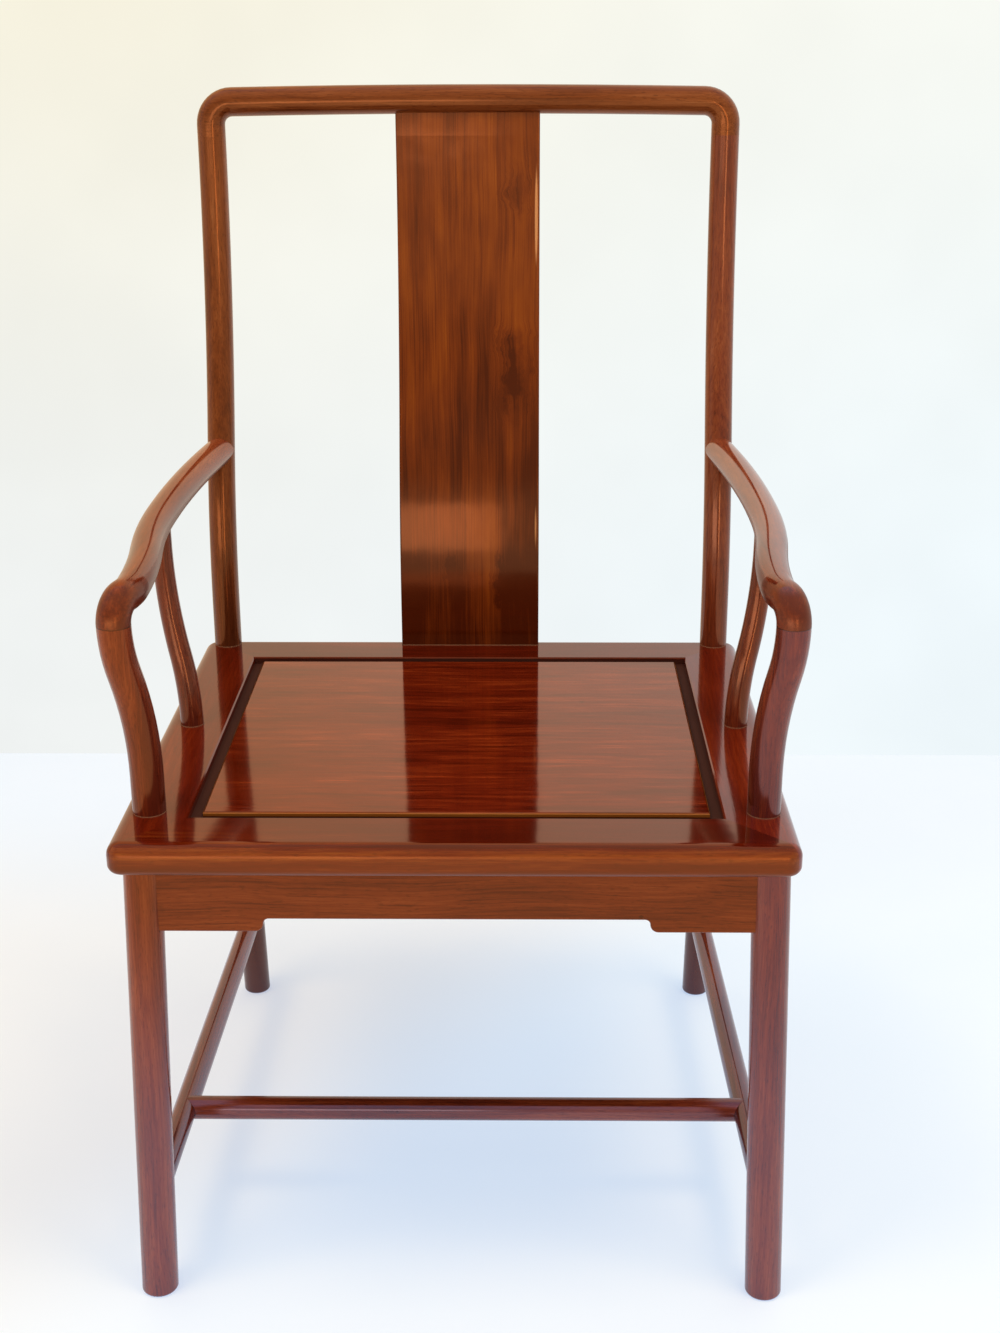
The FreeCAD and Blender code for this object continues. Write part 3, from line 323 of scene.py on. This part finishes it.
# A knot swirls near the splat's right edge, a faint one is above it, and dark blotches lie low down
SPLAT_KNOTS = (((0.0525, 0.262, 0.936), 0.020, 0.20), ((0.0475, 0.243, 0.762), 0.032, 0.40),
               ((0.036, 0.198, 0.548), 0.015, 0.42), ((-0.021, 0.199, 0.559), 0.012, 0.38),
               ((-0.0575, 0.199, 0.562), 0.011, 0.38), ((0.030, 0.198, 0.532), 0.014, 0.35))
# A painted highlight: a thin pale ring where a post or the splat meets the seat
SEAT_JOIN_HIGHLIGHT = (SEAT_TOP + 0.3 * MM, 0.7 * MM, "#a8805e", 0.38)
# A painted highlight: a golden band along the panel's arris, where its bevel catches the light
PANEL_ARRIS_HIGHLIGHT = (SEAT_TOP - 2.7 * MM, 1.9 * MM, "#94561c", 0.85)
# The dark glue line of an elbow
JOINT_LINE = (ELBOW_JOINT, 0.7 * MM, "#1a0603", 0.8)
# Small marks of use
LEG_CHIP = ((-0.2628, -0.272, 0.324), (3.2 * MM, 6 * MM, 4.2 * MM), "#d8b0a0", 0.5)
APRON_KNOCK = ((0.1566, -0.2525, 0.383), (2.5 * MM, 4 * MM, 1.8 * MM), "#2a0c05", 0.8)
PANEL_SPOT = ((0.1139, 0.0249, 0.4716), (2.4 * MM, 3.2 * MM, 3 * MM), "#1e0503", 0.8)
# Painted highlights on the splat's right arris, in two places, each a depth, a height and a length
SPLAT_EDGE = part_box("back_splat")[1][0] - 3.4 * MM
SPLAT_EDGE_HIGHLIGHTS = tuple(((SPLAT_EDGE, depth, rise), (1.9 * MM, 14 * MM, tall), "#cf8f55", 0.75)
                   for depth, rise, tall in ((0.207, 0.592, 36 * MM), (0.262, 0.905, 60 * MM)))
# Painted shade in the corner under the rear rail's inner edge
REAR_CORNER_SHADE = ((0.0, 0.153, 0.4665), (0.6, 3 * MM, 5 * MM), RECESS_SHADE_TONE, 0.9)
# A painted reflection: the shine turns from warm to cool going down the legs, for the bluish floor they
# mirror
LOW_TURN = (*LEG_FALL, COOL_FLOOR_REFLECTION)
# The flat pieces of the seat are rubbed glossier than the round ones
FLAT = dict(gloss=0.07, relief=0.1)
# What sets a piece apart from the rest of the frame
FINISH = {
    "back_splat": dict(tones=SPLAT_TONES, layers=SPLAT_BOARD, knots=SPLAT_KNOTS, streaks=0.14,
                       gloss=0.12, flow=0.6, lift=-0.28,
                       fades=((*SPLAT_FOOT_SHADE, -0.16), (*SPLAT_HEAD, 0.18)),
                       lines=(SEAT_JOIN_HIGHLIGHT,), marks=SPLAT_EDGE_HIGHLIGHTS, pores=0.08, quarter=1,
                       shine=SPLAT_SHINE),
    "seat_panel": dict(gloss=0.07, relief=0.45, tones=PANEL_TONES, layers=PANEL_BOARD, index=1.75,
                       lift=-0.04, lines=(PANEL_ARRIS_HIGHLIGHT,), marks=(PANEL_SPOT,),
                       shaded_below=SEAT_TOP - 4 * MM),
    "crest_rail": dict(tones=BACK_TONES, lift=0.02, streaks=0.15),
    "front_apron": dict(lift=-0.14, gloss=0.22, streaks=0.25, marks=(APRON_KNOCK,)),
    "front_seat_rail": dict(FLAT, tones=RAIL_TONES, lift=-0.28, index=1.65, streaks=0.1,
                            satin_below=SEAT_TOP - MM,
                            fades=((*RAIL_EDGE_HIGHLIGHT, 0.34), (*RAIL_UNDERSIDE_SHADE, -0.26))),
    "rear_seat_rail": dict(FLAT, tones=PANEL_TONES, lift=-0.3, marks=(REAR_CORNER_SHADE,)),
    "rear_apron": dict(lift=-0.1),
    "cross_stretcher": dict(turn=LOW_TURN, lift=-0.1)}
for side, shine in (("left", FIBRE_SHINE), ("right", RIGHT_LIGHT_SHINE)):
    right = side == "right"
    FINISH.update({
        f"{side}_arm": dict(fades=((*ELBOW_SHADE_FALL, -0.42),), lines=(JOINT_LINE,), gloss=0.12,
                            shine=ELBOW_SHINE if right else shine, index=2.0 if right else 1.6,
                            turn=(*RIGHT_ARM_SHEEN_RISE, RIGHT_ARM_PALE_SHEEN) if right else None,
                            satin_below=ELBOW_SATIN),
        f"front_{side}_post": dict(lift=-0.12 if right else -0.06, index=1.55, turn=LOW_TURN,
                                   lines=(SEAT_JOIN_HIGHLIGHT, JOINT_LINE), shine=shine,
                                   marks=() if right else (LEG_CHIP,),
                                   fades=((*SEAT_NECK, -0.32),
                                          (*GOOSE_NECK, 0.26 if right else 0.16))),
        f"rear_{side}_post": dict(tones=RIGHT_BACK_TONES if right else BACK_TONES, lift=-0.08,
                                  lines=(SEAT_JOIN_HIGHLIGHT,), shine=RIGHT_BACK_LIGHT_SHINE if right else shine,
                                  fades=((*UNDER_SEAT_SHADE, -0.3), (*REAR_POST_FOOT, -0.22)),
                                  turn=(*REAR_LEG_FALL, COOL_FLOOR_REFLECTION)),
        f"{side}_side_post": dict(lines=(SEAT_JOIN_HIGHLIGHT,), shine=SIDE_POST_SHINE, lift=-0.3),
        f"{side}_seat_rail": dict(FLAT, tones=PANEL_TONES, lift=0.1 if right else -0.04, shine=shine),
        f"{side}_stretcher": dict(turn=LOW_TURN, lift=-0.12, index=1.6)})
# Every piece is cut from another place in the timber: where the first is, and how far on the next
TIMBER_START = (0.0, 1.3, -2.1)
TIMBER_STEP = (0.731, 0.417, 0.593)
# Faces that meet at more than this keep a crisp arris
CRISP_ARRIS = math.radians(30)


def smooth(obj):
    """Round faces shade as round, and arrises stay crisp."""
    mesh = obj.data
    mesh.polygons.foreach_set("use_smooth", [True] * len(mesh.polygons))
    mesh.set_sharp_from_angle(angle=CRISP_ARRIS)
    mesh.update()


for index, (node_name, obj) in enumerate(sorted(NODES.items())):
    offset = [start + step * index for start, step in zip(TIMBER_START, TIMBER_STEP)]
    wood = rosewood("lacquered_rosewood_" + node_name, GRAIN[node_name], offset,
                    **FINISH.get(node_name, {}))
    obj.data.materials.clear()
    obj.data.materials.append(wood)
    smooth(obj)


# The room: a pale floor, and a pale wall behind the chair that only shows from in front
FLOOR_REACH = 12.0
WALL_AT = 1.02
WALL_TOP = 3.4
WALL_WIDE = 12.0
COVE = 0.12
# How much of the floor's look is its own pale colour, red, green and blue; the rest takes the shadow,
# which is bluish because the blue fades least in it
FLOOR_GLOW = (0.46, 0.54, 0.75)
# The floor's pale colour, and the slight patches of the vinyl that takes the shadow
FLOOR_LEFT = "#e9e8e6"
FLOOR_RIGHT = "#ecfbff"
FLOOR_FAR = "#ecf6fa"
FLOOR_PATCHES = ("#f2f5fa", "#f8faff")
# Where the floor's tint turns: across a slanting line, in which X and Y count this much, and going away
FLOOR_LEAN = (2.0, -1.5)
FLOOR_TURN = (-0.8, 0.0)
FLOOR_AWAY = (0.3, 0.85)
FLOOR_PATCHES_PER_METRE = 2.2
# The wall's colours at its left and right: low down, high up, and as the lacquer shows them
WALL_LOW = ("#f3f6f5", "#f2fbff")
WALL_HIGH = ("#fcf5dc", "#fffff5")
WALL_IN_LACQUER = ("#ffe4c4", "#ffffff")
WHITE = "#ffffff"
# Where the wall's colour turns, going up and going to the right, and its faint patches
WALL_RISE = (0.1, 1.6)
WALL_ASIDE = (-0.7, 0.8)
WALL_PATCHES_PER_METRE = 3.0
WALL_PATCH_DIMS_TO = 0.95
# The part of a patchy noise that makes the patches
PATCH_CUT = (0.3, 0.7)
# The light from all round: in front at the left and right, pale behind and low down, bright overhead
ROOM_FRONT = ("#b6a698", "#b4b8cc")
ROOM_PALE = "#dfe6f0"
ROOM_OVERHEAD = "#cfdfff"
ROOM_STRENGTH = 0.96
# Where the light turns, by direction: to the back, upwards, to the right, and up from the horizon
ROOM_BACK = (-0.9, 0.3)
ROOM_UP = (0.1, 0.9)
ROOM_ASIDE = (-0.5, 0.6)
ROOM_HORIZON = (0.1, 0.26)


def sheet_mesh(name, profile, half_width):
    """A sheet with a profile in Y and Z, drawn out along X."""
    mesh = bpy.data.meshes.new(name)
    shape = bmesh.new()
    rows = [[shape.verts.new((x, y, z)) for y, z in profile] for x in (-half_width, half_width)]
    for i in range(len(profile) - 1):
        shape.faces.new((rows[0][i], rows[1][i], rows[1][i + 1], rows[0][i + 1]))
    shape.to_mesh(mesh)
    shape.free()
    made = bpy.data.objects.new(name, mesh)
    bpy.context.scene.collection.objects.link(made)
    return made


floor = sheet_mesh("pale_floor", [(-FLOOR_REACH, 0), (FLOOR_REACH, 0)], FLOOR_REACH)
cove = [(WALL_AT + COVE * math.sin(a), COVE - COVE * math.cos(a) + MM)
        for a in [math.radians(t) for t in range(0, 91, 10)]]
wall = sheet_mesh("pale_wall", cove + [(WALL_AT + COVE, WALL_TOP)], WALL_WIDE)


def seen_directly(tree):
    """1 for what the camera or a mirror sees of the room, 0 for the light that the room gives."""
    path = add(tree, "LightPath")
    seen = add(tree, "Math", {0: path.outputs["Is Camera Ray"], 1: path.outputs["Is Glossy Ray"]},
               operation="MAXIMUM").outputs[0]
    return add(tree, "Math", {0: seen, 1: path.outputs["Is Transmission Ray"]},
               operation="MAXIMUM").outputs[0]


def floor_material():
    """Matt off-white vinyl: neutral at the left, bluish in front and at the right, pale far away."""
    material, tree = new_material("matt_white_floor")
    place = add(tree, "TexCoord").outputs["Object"]
    cut = add(tree, "SeparateXYZ", {0: place})
    side = add(tree, "Math", {0: cut.outputs[0], 1: FLOOR_LEAN[0]}, operation="MULTIPLY").outputs[0]
    side = add(tree, "Math", {0: cut.outputs[1], 1: FLOOR_LEAN[1], 2: side},
               operation="MULTIPLY_ADD").outputs[0]
    side = add(tree, "MapRange", {0: side, 1: FLOOR_TURN[0], 2: FLOOR_TURN[1], 3: 0.0, 4: 1.0},
               interpolation_type="SMOOTHSTEP").outputs[0]
    far = add(tree, "MapRange", {0: cut.outputs[1], 1: FLOOR_AWAY[0], 2: FLOOR_AWAY[1], 3: 0.0, 4: 1.0},
              interpolation_type="SMOOTHSTEP").outputs[0]
    near = add(tree, "Mix", {0: side, 6: hex_colour(FLOOR_LEFT), 7: hex_colour(FLOOR_RIGHT)},
               data_type="RGBA").outputs[2]
    pale = add(tree, "Mix", {0: far, 6: near, 7: hex_colour(FLOOR_FAR)}, data_type="RGBA").outputs[2]
    patch = add(tree, "TexNoise", {"Vector": place, "Scale": FLOOR_PATCHES_PER_METRE,
                                   "Detail": 3.0}).outputs[0]
    ramp = add(tree, "ValToRGB", {0: patch})
    for stop, spot, text in zip(ramp.color_ramp.elements, PATCH_CUT, FLOOR_PATCHES):
        stop.position = spot
        stop.color = hex_colour(text)
    share = add(tree, "VectorMath", {0: FLOOR_GLOW, "Scale": seen_directly(tree)},
                operation="SCALE").outputs[0]
    rest = add(tree, "VectorMath", {0: (1.0, 1.0, 1.0), 1: share}, operation="SUBTRACT").outputs[0]
    matt = add(tree, "VectorMath", {0: ramp.outputs[0], 1: rest}, operation="MULTIPLY").outputs[0]
    glow = add(tree, "VectorMath", {0: pale, 1: share}, operation="MULTIPLY").outputs[0]
    shader = add(tree, "BsdfPrincipled", {"Base Color": matt, "Roughness": 0.7,
                                          "Specular IOR Level": 0.2, "Emission Color": glow,
                                          "Emission Strength": 1.0})
    add(tree, "OutputMaterial", {0: shader.outputs[0]})
    return material


def wall_material():
    """Painted wall far out of focus: cream at its upper left, cooler white to the right and below."""
    material, tree = new_material("soft_white_wall")
    place = add(tree, "TexCoord").outputs["Object"]
    cut = add(tree, "SeparateXYZ", {0: place})
    rise, aside = [
        add(tree, "MapRange", {0: way, 1: start, 2: end, 3: 0.0, 4: 1.0},
            interpolation_type="SMOOTHSTEP").outputs[0]
        for way, (start, end) in ((cut.outputs[2], WALL_RISE), (cut.outputs[0], WALL_ASIDE))]
    low, high, cream = [
        add(tree, "Mix", {0: aside, 6: hex_colour(left_tint), 7: hex_colour(right_tint)},
            data_type="RGBA").outputs[2]
        for left_tint, right_tint in (WALL_LOW, WALL_HIGH, WALL_IN_LACQUER)]
    paint = add(tree, "Mix", {0: rise, 6: low, 7: high}, data_type="RGBA").outputs[2]
    patch = add(tree, "TexNoise", {"Vector": place, "Scale": WALL_PATCHES_PER_METRE,
                                   "Detail": 3.0}).outputs[0]
    patch = add(tree, "MapRange", {0: patch, 1: PATCH_CUT[0], 2: PATCH_CUT[1], 3: WALL_PATCH_DIMS_TO,
                                   4: 1.0}).outputs[0]
    # The lacquer shows the wall a little creamier than the eye sees it
    mirrored = add(tree, "LightPath").outputs["Is Glossy Ray"]
    cream = add(tree, "Mix", {0: mirrored, 6: hex_colour(WHITE), 7: cream},
                data_type="RGBA").outputs[2]
    paint = add(tree, "Mix", {0: 1.0, 6: paint, 7: cream}, data_type="RGBA",
                blend_type="MULTIPLY").outputs[2]
    glow = add(tree, "Emission", {"Color": paint, "Strength": patch}).outputs[0]
    clear = add(tree, "BsdfTransparent").outputs[0]
    behind = add(tree, "NewGeometry").outputs["Backfacing"]
    either = add(tree, "MixShader", {0: behind, 1: glow, 2: clear})
    add(tree, "OutputMaterial", {0: either.outputs[0]})
    return material


def soft_room():
    """Soft light from all round: bright overhead, dimmer and warmer from the room in front."""
    room = bpy.data.worlds.new("soft_room")
    room.use_nodes = True
    tree = room.node_tree
    tree.nodes.clear()
    toward = add(tree, "SeparateXYZ", {0: add(tree, "TexCoord").outputs["Generated"]})
    right_way, back_way, up_way = toward.outputs
    behind, overhead, aside = [
        add(tree, "MapRange", {0: way, 1: start, 2: end, 3: 0.0, 4: 1.0},
            interpolation_type="SMOOTHSTEP").outputs[0]
        for way, (start, end) in ((back_way, ROOM_BACK), (up_way, ROOM_UP), (right_way, ROOM_ASIDE))]
    # Near the horizon the room is as pale all round as it is behind the chair
    horizon = add(tree, "MapRange", {0: up_way, 1: ROOM_HORIZON[0], 2: ROOM_HORIZON[1], 3: 1.0, 4: 0.0},
                  interpolation_type="SMOOTHSTEP").outputs[0]
    light = add(tree, "Mix", {0: aside, 6: hex_colour(ROOM_FRONT[0]), 7: hex_colour(ROOM_FRONT[1])},
                data_type="RGBA").outputs[2]
    for part, text in ((behind, ROOM_PALE), (horizon, ROOM_PALE), (overhead, ROOM_OVERHEAD)):
        light = add(tree, "Mix", {0: part, 6: light, 7: hex_colour(text)}, data_type="RGBA").outputs[2]
    back = add(tree, "Background", {"Color": light, "Strength": ROOM_STRENGTH})
    add(tree, "OutputWorld", {0: back.outputs[0]})
    return room


floor.data.materials.append(floor_material())
wall.data.materials.append(wall_material())
bpy.context.scene.world = soft_room()


def softbox(name, at, aim, wide, high, watts, colour, mirrored=True):
    """A rectangular diffuse light that faces a point; the lacquer shows it only if mirrored."""
    lamp = bpy.data.lights.new(name, "AREA")
    lamp.shape = "RECTANGLE"
    lamp.size = wide
    lamp.size_y = high
    lamp.energy = watts
    lamp.color = hex_colour(colour)[:3]
    made = bpy.data.objects.new(name, lamp)
    made.location = at
    made.rotation_euler = (Vector(aim) - Vector(at)).to_track_quat("-Z", "Y").to_euler()
    made.visible_glossy = mirrored
    bpy.context.scene.collection.objects.link(made)


for name, at in (("ceiling_left", (-1.15, -0.9, 2.9)), ("ceiling_right", (1.0, -0.8, 2.9))):
    softbox(name, at, aim=(0, 0, 0), wide=0.9, high=0.9, watts=30, colour="#ffebd4", mirrored=False)
softbox("window_left", at=(-0.85, -1.95, 0.64), aim=(-0.85, 0.2, 0.64), wide=1.66, high=0.46, watts=6.5,
        colour="#fff0e4")
softbox("window_right", at=(0.9, -2.9, 0.8), aim=(0, 0.1, 0.65), wide=0.4, high=1.0, watts=6.5,
        colour="#ffdcae")

# The camera stands where the photograph was taken
ahead = Vector((math.sin(CAMERA_TURN) * math.cos(CAMERA_TILT_DOWN),
                math.cos(CAMERA_TURN) * math.cos(CAMERA_TILT_DOWN), -math.sin(CAMERA_TILT_DOWN)))
level = Vector((math.cos(CAMERA_TURN), -math.sin(CAMERA_TURN), 0))
above = level.cross(ahead)
across = math.cos(CAMERA_ROLL) * level + math.sin(CAMERA_ROLL) * above
upward = across.cross(ahead)
camera_data = bpy.data.cameras.new("photo_camera")
camera_data.sensor_width = SENSOR_WIDE
camera_data.lens = LENS_IN_PIXELS / max(PHOTO_WIDE, PHOTO_HIGH) * SENSOR_WIDE
camera_data.clip_start = NEAREST_SEEN
camera = bpy.data.objects.new("photo_camera", camera_data)
stance = Matrix((across, upward, -ahead)).transposed()
camera.matrix_world = Matrix.Translation(CAMERA_AT) @ stance.to_4x4()
bpy.context.scene.collection.objects.link(camera)
bpy.context.scene.camera = camera
bpy.context.scene.view_settings.view_transform = "Standard"

bpy.context.view_layer.update()
